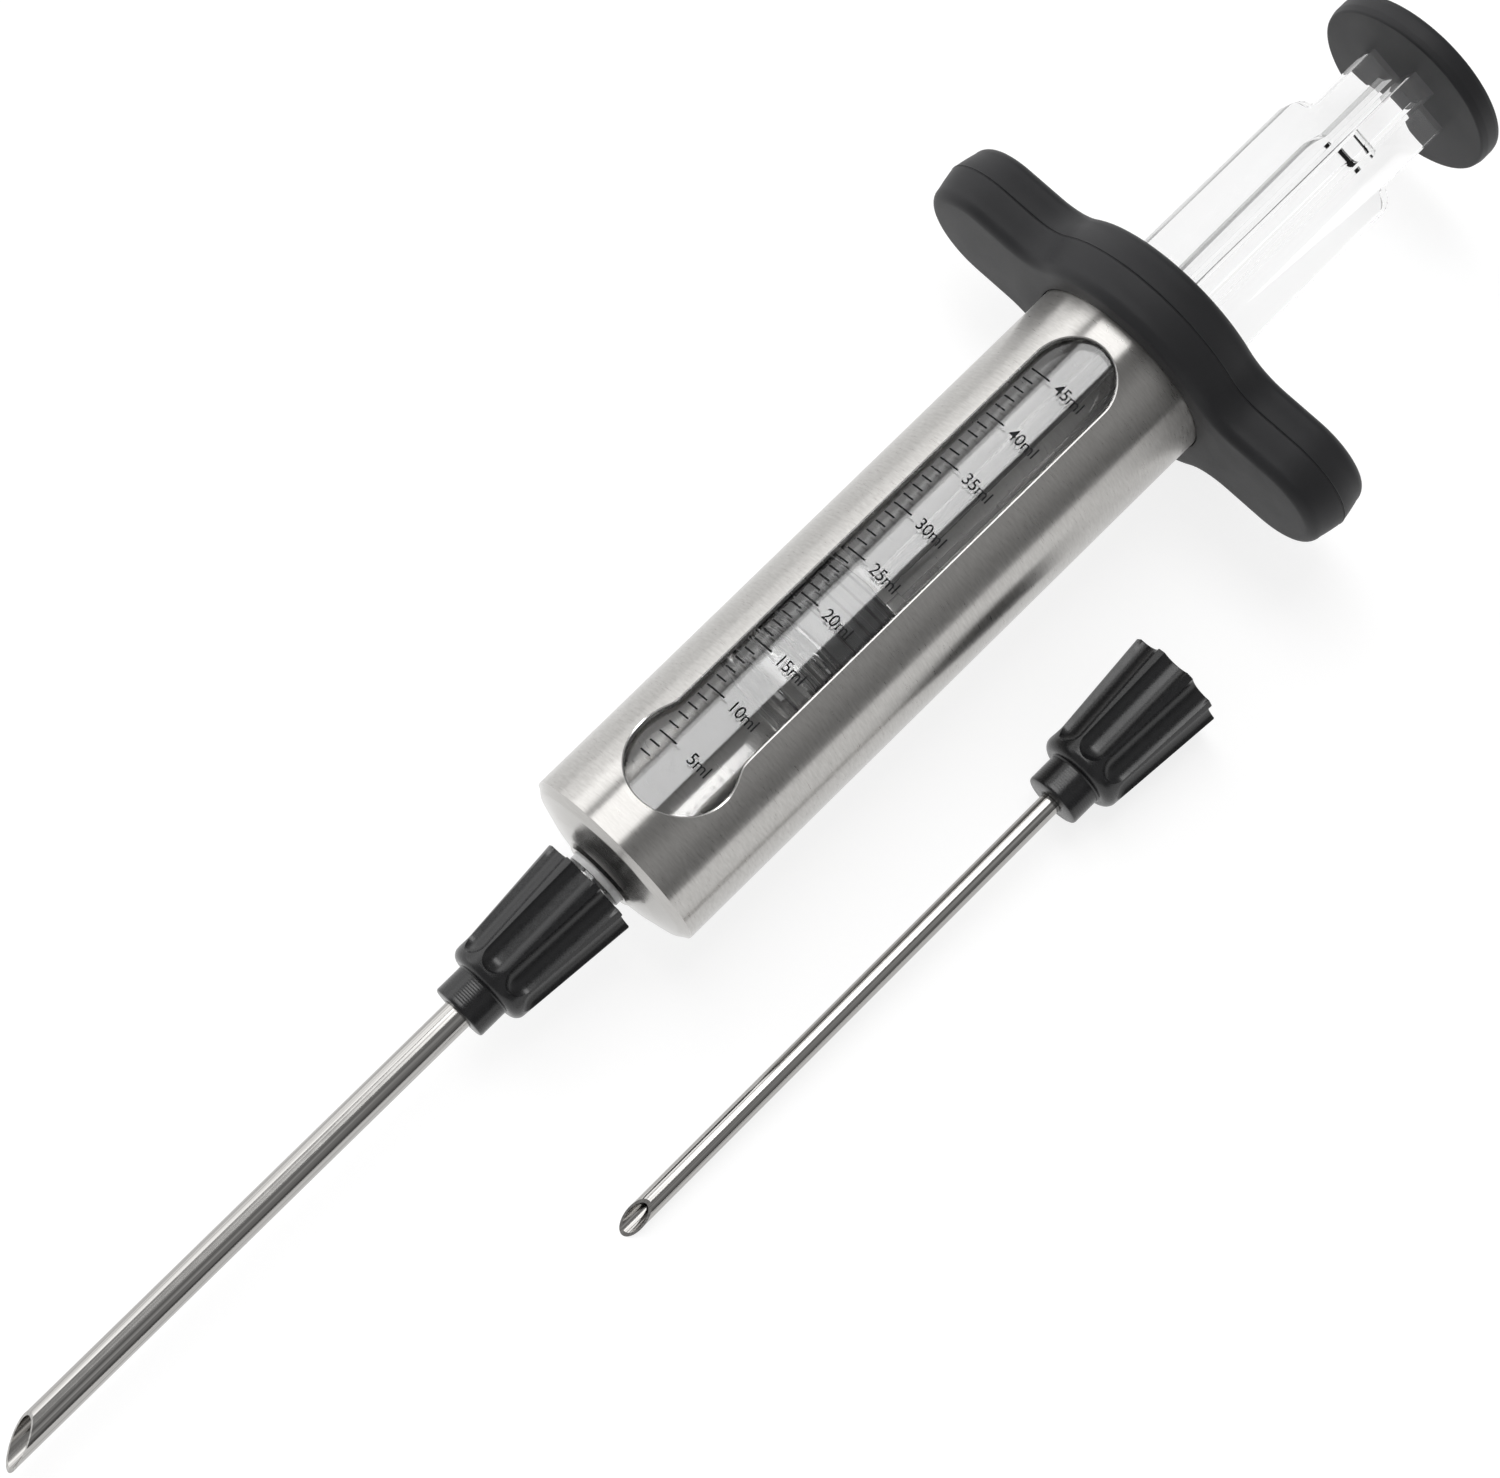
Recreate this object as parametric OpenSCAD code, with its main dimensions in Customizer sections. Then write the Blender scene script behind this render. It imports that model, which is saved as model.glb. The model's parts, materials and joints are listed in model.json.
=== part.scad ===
// Hand-held meat injector, lying on its side with its window up, and a spare needle beside it.
// Every piece is drawn upright about its own axis: the needle points down (-Z), the thumb pad
// is at the top, and height 0 is the front rim of the steel sleeve. lay() then sets it down.

/* [Sleeve and nose] */
// Outer radius of the steel sleeve
sleeve_r = 15.75; // [15.5:0.05:16]
// Sheet thickness of the sleeve and nose
sheet_t = 0.8; // [0.6:0.05:0.85]
// Height of the front rim to the grip's front face
grip_z = 106.2; // [104:0.2:110]
// How far the nose stands out in front of the rim
nose_h = 3.3; // [3:0.1:3.6]
// Radius of the round end of the keyhole window
keyhole_r = 8.5; // [7.5:0.1:9]
// Width of the window's long slot
slot_w = 13.7; // [11:0.1:14]
// Height of the keyhole's centre
keyhole_z = 15.3; // [12:0.1:18]
// Height of the slot's far end
slot_end_z = 102.2; // [95:0.2:102.6]

/* [Clear barrel] */
// Outer radius of the clear tube
barrel_r = 14.75; // [14.6:0.05:14.85]
// Radius of the bore, which sets the volume scale
bore_r = 12.85; // [12.5:0.05:12.9]
// Radius of the nozzle outside
nozzle_r = 4.45; // [4.3:0.05:4.5]
// Length of the nozzle in front of the rim
nozzle_len = 12.6; // [12:0.1:13]

/* [Grip] */
// Radius of the round middle of the grip
bulge_r = 21.6; // [21:0.1:23]
// Half the height of a finger wing
wing_r = 11; // [10:0.1:12]
// Distance from the axis to the centre of a wing's round end
wing_y = 29.4; // [27:0.1:32]
// Thickness of one grip half
half_t = 5.8; // [5.4:0.1:6.4]
// Radius of the hollow between the middle and a wing
waist_r = 8; // [6:0.5:10]

/* [Plunger] */
// Thickness of the cross-shaped ribs
rib_t = 4.4; // [3.5:0.1:5]
// Radius of the wide part of the ribs
rib_r = 10.95; // [10:0.05:11]
// Radius of the neck under the thumb pad
neck_r = 8.15; // [7:0.05:9]
// Height at which the ribs step in to the neck
shoulder_z = 156.1; // [150:0.1:160]
// Angle of the ribs about the axis
rib_turn = 24; // [0:1:89]
// Height of the piston's front face, which sets how far the plunger is drawn out
piston_z = 32.4; // [20:0.1:60]
// Radius of the thumb pad
pad_r = 16; // [14:0.1:18]
// Thickness of the thumb pad
pad_t = 3.9; // [3.5:0.1:5]

/* [Needles] */
// Outer radius of the fitted needle
needle_r = 2.4; // [2:0.05:2.5]
// Outer radius of the spare needle
spare_r = 1.75; // [1.5:0.05:2]
// Wall of both needles
needle_wall = 0.35; // [0.25:0.01:0.4]
// Length of needle outside its hub
needle_len = 90; // [60:1:110]
// Crest radius of the hub at its open end
hub_r = 8.4; // [8.2:0.05:8.6]
// Crest radius of the hub at its shoulder
hub_shoulder_r = 6.85; // [6.7:0.05:7]
// Radius of the hub's neck
hub_neck_r = 4.65; // [4.3:0.05:4.8]
// Number of flutes around a hub
flutes = 9; // [8:1:10]

/* [Hidden] */
$fn = 96;
eps = 0.01;

// Grip: the two halves meet at the seam, and clamp the sleeve's lip and the barrel's flange
seam_z = grip_z + half_t;
grip_end_z = seam_z + half_t;
lip_r = 17.6;
lip_z = seam_z - 2.6;
flange_r = 17.9;
pocket_r = 18;
gasket_t = 1.2;
rod_hole_r = 11.7;
peg_r = 2;
peg_h = 3;
waist_x = wing_r + waist_r;
waist_y = sqrt(pow(bulge_r + waist_r, 2) - pow(waist_x, 2));
waist_in = 0.95 * bulge_r / (bulge_r + waist_r);

// Barrel
floor_z = 1.9;
outlet_r = 1.6;
sleeve_in_r = sleeve_r - sheet_t;

// Piston: nose, seal and plate stand in a row on one stud
nose_len = 9;
seal_len = 11;
plate_t = 2.6;
gap = 0.1;
seal_z = piston_z + nose_len + gap;
plate_z = seal_z + seal_len + gap;
rod_z = plate_z + plate_t;
seal_r = bore_r - 0.05;
piston_r = bore_r - 0.45;
stud_r = 3;
pad_z = 169.5;
pad_slot_h = 2;
cap_r = pad_r - 1.8;
cap_t = 1.3;
cap_seat = 0.7;

// Hub, measured from its open end towards the needle's tip
hub_z = -5.35;
hub_len = 21.3;
hub_neck_len = 5.05;
hub_total = hub_len + hub_neck_len;
socket_r = nozzle_r + 0.05;
socket_len = 7.3;
washer_t = 0.8;
tube_seat = 14;
flute_r = 3.3;
flute_out = 2.05;
flute_back = 4.2;
bevel_len = 8.3;
bevel_turn = -37;
spare_bevel_turn = 0;
hub_turn = 20;

// Lying pose: the front rim and the round of the grip touch the table
lie = atan2(bulge_r - sleeve_r, grip_z);
axis_h = sleeve_r * cos(lie);

// The spare lies on a crest of its open end and on its needle's tip
spare_lie = atan2(hub_r - spare_r, hub_total + needle_len);
spare_h = hub_r * cos(spare_lie) + 0.02;
spare_x = 80;
spare_y = 37.2;

// The origin is on the table, in the middle of everything
tip_x = -(needle_len + hub_total - hub_z) * cos(lie);
cap_z = pad_z + pad_t - cap_seat;
end_x = (cap_z + cap_t) * cos(lie) + (cap_r - 0.5) * sin(lie);
mid_x = (tip_x + end_x) / 2;
mid_y = (spare_y + hub_r - wing_y - wing_r) / 2;

// Sets an upright piece of the injector down on the table, its window up
module lay()
    translate([-mid_x, mid_y, axis_h])
        rotate([0, 90 - lie, 0]) rotate([0, 0, 180]) children();

// Sets an upright needle down beside the injector, its open end at height 0
module lay_spare()
    translate([spare_x - mid_x, mid_y - spare_y, spare_h])
        rotate([0, 90 - spare_lie, 0]) rotate([0, 0, 180]) children();

// Moves a needle drawn with its open end at height 0 to the nozzle
module on_nozzle() lay() translate([0, 0, hub_z]) children();

module ring(r_out, r_in, h)
    difference() {
        cylinder(r = r_out, h = h);
        translate([0, 0, -1]) cylinder(r = r_in, h = h + 2);
    }

// Half profile of a disc with a round rim
module disc_profile(w, h, r) {
    square([w - r, h]);
    translate([0, r]) square([w, h - 2 * r]);
    for (y = [r, h - r]) translate([w - r, y]) circle(r);
}

// ---- sleeve and nose ----

module window_cut() {
    rotate([0, 90, 0]) {
        translate([-keyhole_z, 0, 0]) cylinder(r = keyhole_r, h = 20);
        translate([-slot_end_z + slot_w / 2, 0, 0]) cylinder(d = slot_w, h = 20);
        translate([-slot_end_z + slot_w / 2, -slot_w / 2, 0])
            cube([slot_end_z - slot_w / 2 - keyhole_z, slot_w, 20]);
    }
}

module outer_shell()
    color("silver") lay()
        difference() {
            union() {
                ring(sleeve_r, sleeve_in_r, lip_z + sheet_t);
                translate([0, 0, lip_z]) ring(lip_r, sleeve_in_r, sheet_t);
            }
            window_cut();
        }

module nose_cap()
    color("silver") lay()
        rotate_extrude()
            polygon([[sleeve_r, 0], [14.3, -1], [10.2, -2.15], [6.4, -2.85], [5.7, -nose_h],
                     [4.9, -nose_h], [4.9, -nose_h + sheet_t], [6.2, -2.85 + sheet_t],
                     [10, -2.15 + sheet_t], [14, -1 + sheet_t], [sleeve_in_r, 0]]);

// ---- barrel ----

module clear_barrel()
    color("lightcyan", 0.5) lay()
        difference() {
            union() {
                rotate_extrude()
                    polygon([[0, -nozzle_len], [nozzle_r - 0.5, -nozzle_len],
                             [nozzle_r, -nozzle_len + 0.5], [nozzle_r, -1.95], [6.1, -1.95],
                             [9.9, -1.25], [13.5, 0], [barrel_r, 0.4], [barrel_r, seam_z],
                             [0, seam_z]]);
                translate([0, 0, lip_z + sheet_t])
                    cylinder(r = flange_r, h = seam_z - lip_z - sheet_t);
            }
            translate([0, 0, floor_z]) cylinder(r = bore_r, h = seam_z);
            translate([0, 0, floor_z - 1]) cylinder(r1 = outlet_r, r2 = bore_r, h = 1 + eps);
            translate([0, 0, -nozzle_len - 1]) cylinder(r = outlet_r, h = nozzle_len + 3);
        }

// Shoulder ring between the nose's hole and the needle's hub
module nozzle_ring()
    color("whitesmoke") lay()
        translate([0, 0, -4.4]) ring(4.8, nozzle_r + 0.02, 2.4);

module barrel_gasket()
    color("dimgray") lay()
        translate([0, 0, seam_z]) ring(lip_r, bore_r + 0.3, gasket_t);

// ---- grip ----

// Outline seen along the axis: round middle, two wings, hollow waists between them
module grip_outline()
    difference() {
        union() {
            circle(bulge_r);
            translate([-wing_r, -wing_y]) square([2 * wing_r, 2 * wing_y]);
            for (s = [-1, 1]) {
                translate([0, s * wing_y]) circle(wing_r);
                polygon([[-waist_x, s * waist_y], [waist_x, s * waist_y],
                         [waist_x, s * waist_y] * waist_in, [-waist_x, s * waist_y] * waist_in]);
            }
        }
        for (s = [-1, 1], u = [-1, 1])
            translate([u * waist_x, s * waist_y]) circle(waist_r + 0.03);
    }

module grip_half(z)
    translate([0, 0, z]) union() {
        linear_extrude(half_t) grip_outline();
        cylinder(r = bulge_r - 1, h = half_t);
    }

module pegs(r, h)
    for (s = [-1, 1]) translate([0, s * wing_y, seam_z - h]) cylinder(r = r, h = h + 1);

module grip_front()
    color("#2c2c2e") lay()
        difference() {
            grip_half(grip_z);
            translate([0, 0, grip_z - 1]) cylinder(r = sleeve_r + 0.1, h = 10);
            translate([0, 0, lip_z]) cylinder(r = pocket_r, h = 10);
            pegs(peg_r + 0.02, peg_h + 0.2);
        }

module grip_rear()
    color("#2c2c2e") lay()
        difference() {
            union() {
                grip_half(seam_z);
                pegs(peg_r, peg_h);
            }
            translate([0, 0, seam_z - 1]) cylinder(r = lip_r + 0.1, h = gasket_t + 1);
            translate([0, 0, seam_z - 1]) cylinder(r = rod_hole_r, h = 20);
            translate([0, 0, grip_end_z - 1])
                cylinder(r1 = rod_hole_r, r2 = rod_hole_r + 1 + eps, h = 1 + eps);
        }

// ---- piston and plunger ----

// Rubber seal with four lands that ride in the bore
module piston_seal() {
    lands = [[0, 2.7], [3.0, 1.9], [6.35, 0.9], [8.75, 0.9], [10.6, 0.4]];
    color("#1c1c1e") lay()
        translate([0, 0, seal_z]) difference() {
            union() {
                cylinder(r = seal_r - 0.9, h = seal_len);
                for (l = lands) translate([0, 0, l[0]]) cylinder(r = seal_r, h = l[1]);
            }
            translate([0, 0, -1]) cylinder(r = stud_r + 0.05, h = seal_len + 2);
        }
}

// Clear front piece: a disc, a groove and a cone behind it
module piston_nose()
    color("lightcyan", 0.5) lay()
        translate([0, 0, piston_z]) difference() {
            rotate_extrude()
                polygon([[0, 0], [piston_r - 1, 0], [piston_r, 1], [piston_r, 3.8],
                         [piston_r - 1.4, 3.8], [piston_r - 1.4, 5.1], [piston_r - 0.4, 5.1],
                         [piston_r - 4.2, 8], [piston_r - 0.2, 8.4], [piston_r - 0.2, nose_len],
                         [0, nose_len]]);
            translate([0, 0, nose_len - 5]) cylinder(r = stud_r + 0.02, h = 6);
        }

module rib_outline() {
    translate([-rib_r, rod_z - eps]) square([2 * rib_r, shoulder_z - 3 - rod_z + eps]);
    translate([-rib_r + 3, rod_z]) square([2 * rib_r - 6, shoulder_z - rod_z]);
    for (s = [-1, 1]) translate([s * (rib_r - 3), shoulder_z - 3]) circle(3);
    translate([-neck_r, shoulder_z - 1]) square([2 * neck_r, pad_z + pad_slot_h - shoulder_z + 1]);
}

module ribs(extra = 0)
    for (a = [0, 90]) rotate([0, 0, rib_turn + a])
        rotate([90, 0, 0]) linear_extrude(rib_t + 2 * extra, center = true) rib_outline();

module plunger_rod()
    color("lightcyan", 0.5) lay() {
        translate([0, 0, plate_z]) cylinder(r = piston_r, h = plate_t);
        translate([0, 0, plate_z - seal_len - 2 * gap - 4.8])
            cylinder(r = stud_r, h = seal_len + 2 * gap + 5);
        ribs();
    }

module thumb_pad()
    color("#2c2c2e") lay()
        difference() {
            translate([0, 0, pad_z]) rotate_extrude() disc_profile(pad_r, pad_t, 0.7);
            for (a = [0, 90]) rotate([0, 0, rib_turn + a])
                translate([-neck_r - 0.05, -rib_t / 2 - 0.05, pad_z - 1])
                    cube([2 * neck_r + 0.1, rib_t + 0.1, pad_slot_h + 1.02]);
            translate([0, 0, cap_z]) cylinder(r = cap_r + 0.05, h = 2);
        }

module thumb_cap()
    color("silver") lay()
        translate([0, 0, cap_z])
            rotate_extrude() {
                square([cap_r, cap_t - 0.5]);
                square([cap_r - 0.5, cap_t]);
                translate([cap_r - 0.5, cap_t - 0.5]) circle(0.5);
            }

// ---- needles, drawn with the hub's open end at height 0 ----

module washer(r)
    translate([0, 0, -socket_len - washer_t]) ring(socket_r - 0.25, r - needle_wall, washer_t);

module hub(r) {
    slope = (hub_r - hub_shoulder_r) / (hub_len - 1.6);
    difference() {
        rotate_extrude()
            polygon(concat([[0, 0], [hub_r, 0]],
                           [for (a = [0 : 15 : 90])
                               [hub_shoulder_r - 1.6 * (1 - cos(a)),
                                -hub_len + 1.6 * (1 - sin(a))]],
                           [[hub_neck_r, -hub_len], [hub_neck_r, -hub_total + 0.3],
                            [hub_neck_r - 0.3, -hub_total], [0, -hub_total]]));
        // flutes: open at the wide end, with a round end at the shoulder
        for (i = [0 : flutes - 1]) rotate([0, 0, (i + 0.5) * 360 / flutes])
            translate([hub_r + flute_out, 0, 0]) rotate([0, 180 + atan(slope), 0]) {
                translate([0, 0, -2]) cylinder(r = flute_r, h = hub_len - flute_back + 2, $fn = 48);
                translate([0, 0, hub_len - flute_back]) sphere(r = flute_r, $fn = 48);
            }
        translate([0, 0, -socket_len]) cylinder(r = socket_r, h = socket_len + 1);
        translate([0, 0, -socket_len - washer_t]) cylinder(r = socket_r - 0.2, h = washer_t + 1);
        translate([0, 0, -0.5]) cylinder(r1 = socket_r, r2 = socket_r + 0.6, h = 0.6);
        translate([0, 0, -hub_total - 1]) cylinder(r = r + 0.02, h = hub_total);
    }
}

// Straight thin tube, held in the hub at one end and cut off at a slant at the other
module tube(r) {
    end_z = -hub_total - needle_len;
    difference() {
        translate([0, 0, end_z]) cylinder(r = r, h = needle_len + tube_seat + 4);
        translate([0, 0, end_z - 1])
            cylinder(r = r - needle_wall, h = needle_len + tube_seat + 6);
        translate([-r, 0, end_z]) rotate([0, atan2(2 * r, bevel_len * r / needle_r), 0])
            translate([0, -5, -5]) cube([10, 10, 25]);
    }
}

module hub_washer()
    color("dimgray") on_nozzle() washer(needle_r);

module needle_hub()
    color("#161618") on_nozzle() rotate([0, 0, hub_turn]) hub(needle_r);

module needle_tube()
    color("silver") on_nozzle() rotate([0, 0, bevel_turn]) tube(needle_r);

module spare_washer()
    color("dimgray") lay_spare() washer(spare_r);

module spare_hub()
    color("#161618") lay_spare() rotate([0, 0, 180]) hub(spare_r);

module spare_tube()
    color("silver") lay_spare() rotate([0, 0, spare_bevel_turn]) tube(spare_r);

outer_shell();
nose_cap();
clear_barrel();
nozzle_ring();
barrel_gasket();
grip_front();
grip_rear();
piston_seal();
piston_nose();
plunger_rod();
thumb_pad();
thumb_cap();
hub_washer();
needle_hub();
needle_tube();
spare_washer();
spare_hub();
spare_tube();
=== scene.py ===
import json
from math import acos, asin, atan2, cos, pi, radians, sin, sqrt, tan

import bmesh
import bpy
from mathutils import Matrix, Vector


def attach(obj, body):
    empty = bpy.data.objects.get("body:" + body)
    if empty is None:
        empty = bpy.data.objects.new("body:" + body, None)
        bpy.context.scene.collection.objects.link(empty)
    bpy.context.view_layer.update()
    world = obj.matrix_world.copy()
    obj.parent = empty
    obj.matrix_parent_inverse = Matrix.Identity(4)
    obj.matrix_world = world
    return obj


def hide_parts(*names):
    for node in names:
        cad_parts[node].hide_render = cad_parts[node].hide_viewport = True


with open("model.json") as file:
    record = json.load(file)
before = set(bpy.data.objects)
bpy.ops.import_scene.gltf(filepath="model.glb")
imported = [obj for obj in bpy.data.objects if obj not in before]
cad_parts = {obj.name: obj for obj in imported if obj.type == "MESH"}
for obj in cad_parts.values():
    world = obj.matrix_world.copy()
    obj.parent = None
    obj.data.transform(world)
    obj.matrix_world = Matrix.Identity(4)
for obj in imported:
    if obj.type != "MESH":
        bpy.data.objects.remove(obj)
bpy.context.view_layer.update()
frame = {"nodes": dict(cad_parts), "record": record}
scene = bpy.context.scene
MM = 0.001

# ---------------------------------------------------------------------------
# Where things are. Every piece is built upright in millimetres about its own
# axis, needle down, height 0 at the sleeve's front rim, window towards +X.
# The mounts in the record say where that axis lies.
# ---------------------------------------------------------------------------

mounts = {m["name"]: m for m in frame["record"]["mounts"]}


def upright(mount, height):
    """Matrix that sets an upright piece on a mount's axis, given the mount's height on it."""
    axis = Vector(mounts[mount]["axis"]).normalized()
    origin = Vector(mounts[mount]["pos_m"]) - axis * height * MM
    side = Vector((0, -1, 0))
    top = side.cross(axis)
    turn = Matrix((top, side, axis)).transposed().to_4x4()
    return Matrix.Translation(origin) @ turn


CAP_TOP = 174.0  # height of the thumb face's mount
HUB_OPEN = -5.35  # height of the fitted hub's open end
SPARE_MOUNT = -3.85  # height of the spare socket's mount, from its own hub's open end
LAY = upright("thumb_face", CAP_TOP)
LAY_SPARE = upright("spare_socket", SPARE_MOUNT)

SLEEVE_R, SHEET, SLEEVE_END, GRIP_Z, NOSE_H = 15.75, 0.8, 109.4, 106.2, 3.3
KEYHOLE_Z, KEYHOLE_R, SLOT_W, SLOT_END = 15.3, 8.5, 13.7, 102.2
BARREL_R, BORE_R, FLOOR_Z, NOZZLE_R, NOZZLE_LEN = 14.75, 12.85, 1.9, 4.45, 12.6
BULGE_R, WING_R, WING_Y, HALF_T, WAIST_R = 21.6, 11.0, 29.4, 5.8, 8.0
SEAM_Z = GRIP_Z + HALF_T
GRIP_END = SEAM_Z + HALF_T
ROD_HOLE_R = 11.7
RECESS_R, RECESS_T = 17.7, 1.2  # seat of the gasket, in the rear half's seam face
PISTON_Z, NOSE_LEN, SEAL_LEN, PLATE_T = 32.4, 9.0, 11.0, 2.6
SEAL_Z = PISTON_Z + NOSE_LEN + 0.1
PLATE_Z = SEAL_Z + SEAL_LEN + 0.1
ROD_Z = PLATE_Z + PLATE_T
PISTON_R, SEAL_R, STUD_R = BORE_R - 0.45, BORE_R - 0.05, 3.0
RIB_T, RIB_R, NECK_R, SHOULDER_Z, RIB_TURN = 4.4, 10.95, 8.15, 156.1, 24.0
PAD_Z, PAD_R, PAD_T = 169.5, 16.0, 3.9
CAP_R, CAP_Z = 14.2, 172.7
NEEDLE_R, SPARE_R, WALL, NEEDLE_LEN = 2.4, 1.75, 0.35, 90.0
HUB_R, SHOULDER_R, HUB_NECK_R, HUB_LEN, HUB_TOTAL = 8.4, 6.85, 4.65, 21.3, 26.35
FLUTES, FLUTE_R, FLUTE_OUT, FLUTE_BACK = 9, 3.3, 2.05, 4.2
SOCKET_R, SOCKET_LEN = 4.5, 7.3
HUB_ROUND = 1.6  # rounding of the hub's shoulder
BEVEL, BEVEL_TURN, SPARE_BEVEL_TURN, HUB_TURN, SPARE_HUB_TURN = 8.3, -37.0, 0.0, 20.0, 180.0
TICK_0, ML = 6.75, 1.9232  # height of the empty mark, and of one millilitre

# ---------------------------------------------------------------------------
# Mesh helpers
# ---------------------------------------------------------------------------


def link(name, mesh, matrix, body, node=None, mats=()):
    obj = bpy.data.objects.new(name, mesh)
    scene.collection.objects.link(obj)
    obj.matrix_world = matrix
    for m in mats:
        mesh.materials.append(m)
    bpy.context.view_layer.update()
    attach(obj, body)
    if node:
        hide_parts(*([node] if isinstance(node, str) else node))
    return obj


def to_mesh(bm, name, sharp=32.0):
    """Scales to metres, recalculates outward normals and marks edges sharper than the angle."""
    bmesh.ops.remove_doubles(bm, verts=bm.verts, dist=1e-4)
    bmesh.ops.recalc_face_normals(bm, faces=bm.faces)
    bmesh.ops.scale(bm, vec=(MM, MM, MM), verts=bm.verts)
    limit = radians(sharp)
    for e in bm.edges:
        e.smooth = not (len(e.link_faces) == 2 and e.calc_face_angle(0) > limit)
    for f in bm.faces:
        f.smooth = True
    mesh = bpy.data.meshes.new(name)
    bm.to_mesh(mesh)
    bm.free()
    return mesh


def skin(bm, rows, closed=True, mat=0):
    """Joins rows of vertices, each the same length, with quads."""
    for a, b in zip(rows, rows[1:]):
        n = len(a)
        for i in range(n if closed else n - 1):
            j = (i + 1) % n
            quad = [a[i], a[j], b[j], b[i]]
            if len({v.index if v.index >= 0 else id(v) for v in quad}) < 3:
                continue
            f = bm.faces.new(list(dict.fromkeys(quad)))
            f.material_index = mat


def ring_of(bm, r, z, n):
    if r <= 1e-6:
        v = bm.verts.new((0, 0, z))
        return [v] * n
    return [bm.verts.new((r * cos(2 * pi * i / n), r * sin(2 * pi * i / n), z)) for i in range(n)]


def revolve(name, profile, n=128, loop=False, sharp=32.0):
    """Turns a profile of (radius, height[, material]) points round the axis."""
    bm = bmesh.new()
    rows = [ring_of(bm, p[0], p[1], n) for p in profile]
    if loop:
        rows.append(rows[0])
    pts = list(profile) + ([profile[0]] if loop else [])
    for k in range(len(rows) - 1):
        skin(bm, rows[k : k + 2], mat=pts[k][2] if len(pts[k]) > 2 else 0)
    return to_mesh(bm, name, sharp)


def fillet(points, radius, steps=5):
    """Rounds every inner corner of an open profile; radius is one number or one per point."""
    out = [points[0]]
    for k in range(1, len(points) - 1):
        p, a, b = (Vector(q[:2]) for q in (points[k], points[k - 1], points[k + 1]))
        r = radius[k] if isinstance(radius, (list, tuple)) else radius
        u, v = (a - p), (b - p)
        turn = u.angle(v, pi)
        if r <= 0 or turn > radians(178):
            out.append(tuple(points[k]))
            continue
        cut = min(r / tan(turn / 2), u.length * 0.48, v.length * 0.48)
        r = cut * tan(turn / 2)
        u.normalize()
        v.normalize()
        centre = p + (u + v).normalized() * (r / sin(turn / 2))
        s, e = p + u * cut - centre, p + v * cut - centre
        for i in range(steps + 1):
            d = s.lerp(e, i / steps).normalized() * r
            out.append((centre.x + d.x, centre.y + d.y))
    out.append(points[-1])
    return out


# ---------------------------------------------------------------------------
# Materials
# ---------------------------------------------------------------------------


class Nodes:
    """Short way to lay out a material's nodes."""

    def __init__(self, name):
        self.mat = bpy.data.materials.new(name)
        self.mat.use_nodes = True
        self.tree = self.mat.node_tree
        self.tree.nodes.clear()
        self.out = self.add("ShaderNodeOutputMaterial")
        self.bsdf = self.add("ShaderNodeBsdfPrincipled")
        self.wire(self.bsdf.outputs[0], self.out.inputs[0])

    def add(self, kind, **props):
        node = self.tree.nodes.new(kind)
        for k, v in props.items():
            setattr(node, k, v)
        return node

    def wire(self, a, b):
        self.tree.links.new(a, b)

    def put(self, **sockets):
        for k, v in sockets.items():
            self.bsdf.inputs[k.replace("_", " ")].default_value = v

    def math(self, op, a, b=None):
        node = self.add("ShaderNodeMath", operation=op)
        for i, v in enumerate((a, b)):
            if v is None:
                continue
            if isinstance(v, (int, float)):
                node.inputs[i].default_value = v
            else:
                self.wire(v, node.inputs[i])
        return node.outputs[0]

    def place(self):
        """Object coordinates in millimetres: x, y, z."""
        coord = self.add("ShaderNodeTexCoord")
        sep = self.add("ShaderNodeSeparateXYZ")
        self.wire(coord.outputs["Object"], sep.inputs[0])
        return [self.math("MULTIPLY", sep.outputs[i], 1000.0) for i in range(3)]

    def vector(self, x, y, z):
        node = self.add("ShaderNodeCombineXYZ")
        for i, v in enumerate((x, y, z)):
            if isinstance(v, (int, float)):
                node.inputs[i].default_value = v
            else:
                self.wire(v, node.inputs[i])
        return node.outputs[0]

    def noise(self, vec, scale, detail=3.0, rough=0.6):
        node = self.add("ShaderNodeTexNoise")
        node.inputs["Scale"].default_value = scale
        node.inputs["Detail"].default_value = detail
        node.inputs["Roughness"].default_value = rough
        self.wire(vec, node.inputs["Vector"])
        return node.outputs[0]

    def span(self, value, lo, hi, low=0.25, high=0.75):
        node = self.add("ShaderNodeMapRange")
        node.inputs["From Min"].default_value = low
        node.inputs["From Max"].default_value = high
        node.inputs["To Min"].default_value = lo
        node.inputs["To Max"].default_value = hi
        self.wire(value, node.inputs["Value"])
        return node.outputs["Result"]

    def tint(self, value, dark, light):
        node = self.add("ShaderNodeMix", data_type="RGBA")
        node.inputs["A"].default_value = (*dark, 1)
        node.inputs["B"].default_value = (*light, 1)
        self.wire(value, node.inputs["Factor"])
        self.wire(node.outputs["Result"], self.bsdf.inputs["Base Color"])

    def bump(self, height, strength, distance):
        node = self.add("ShaderNodeBump")
        node.inputs["Strength"].default_value = strength
        node.inputs["Distance"].default_value = distance
        self.wire(height, node.inputs["Height"])
        self.wire(node.outputs[0], self.bsdf.inputs["Normal"])


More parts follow.
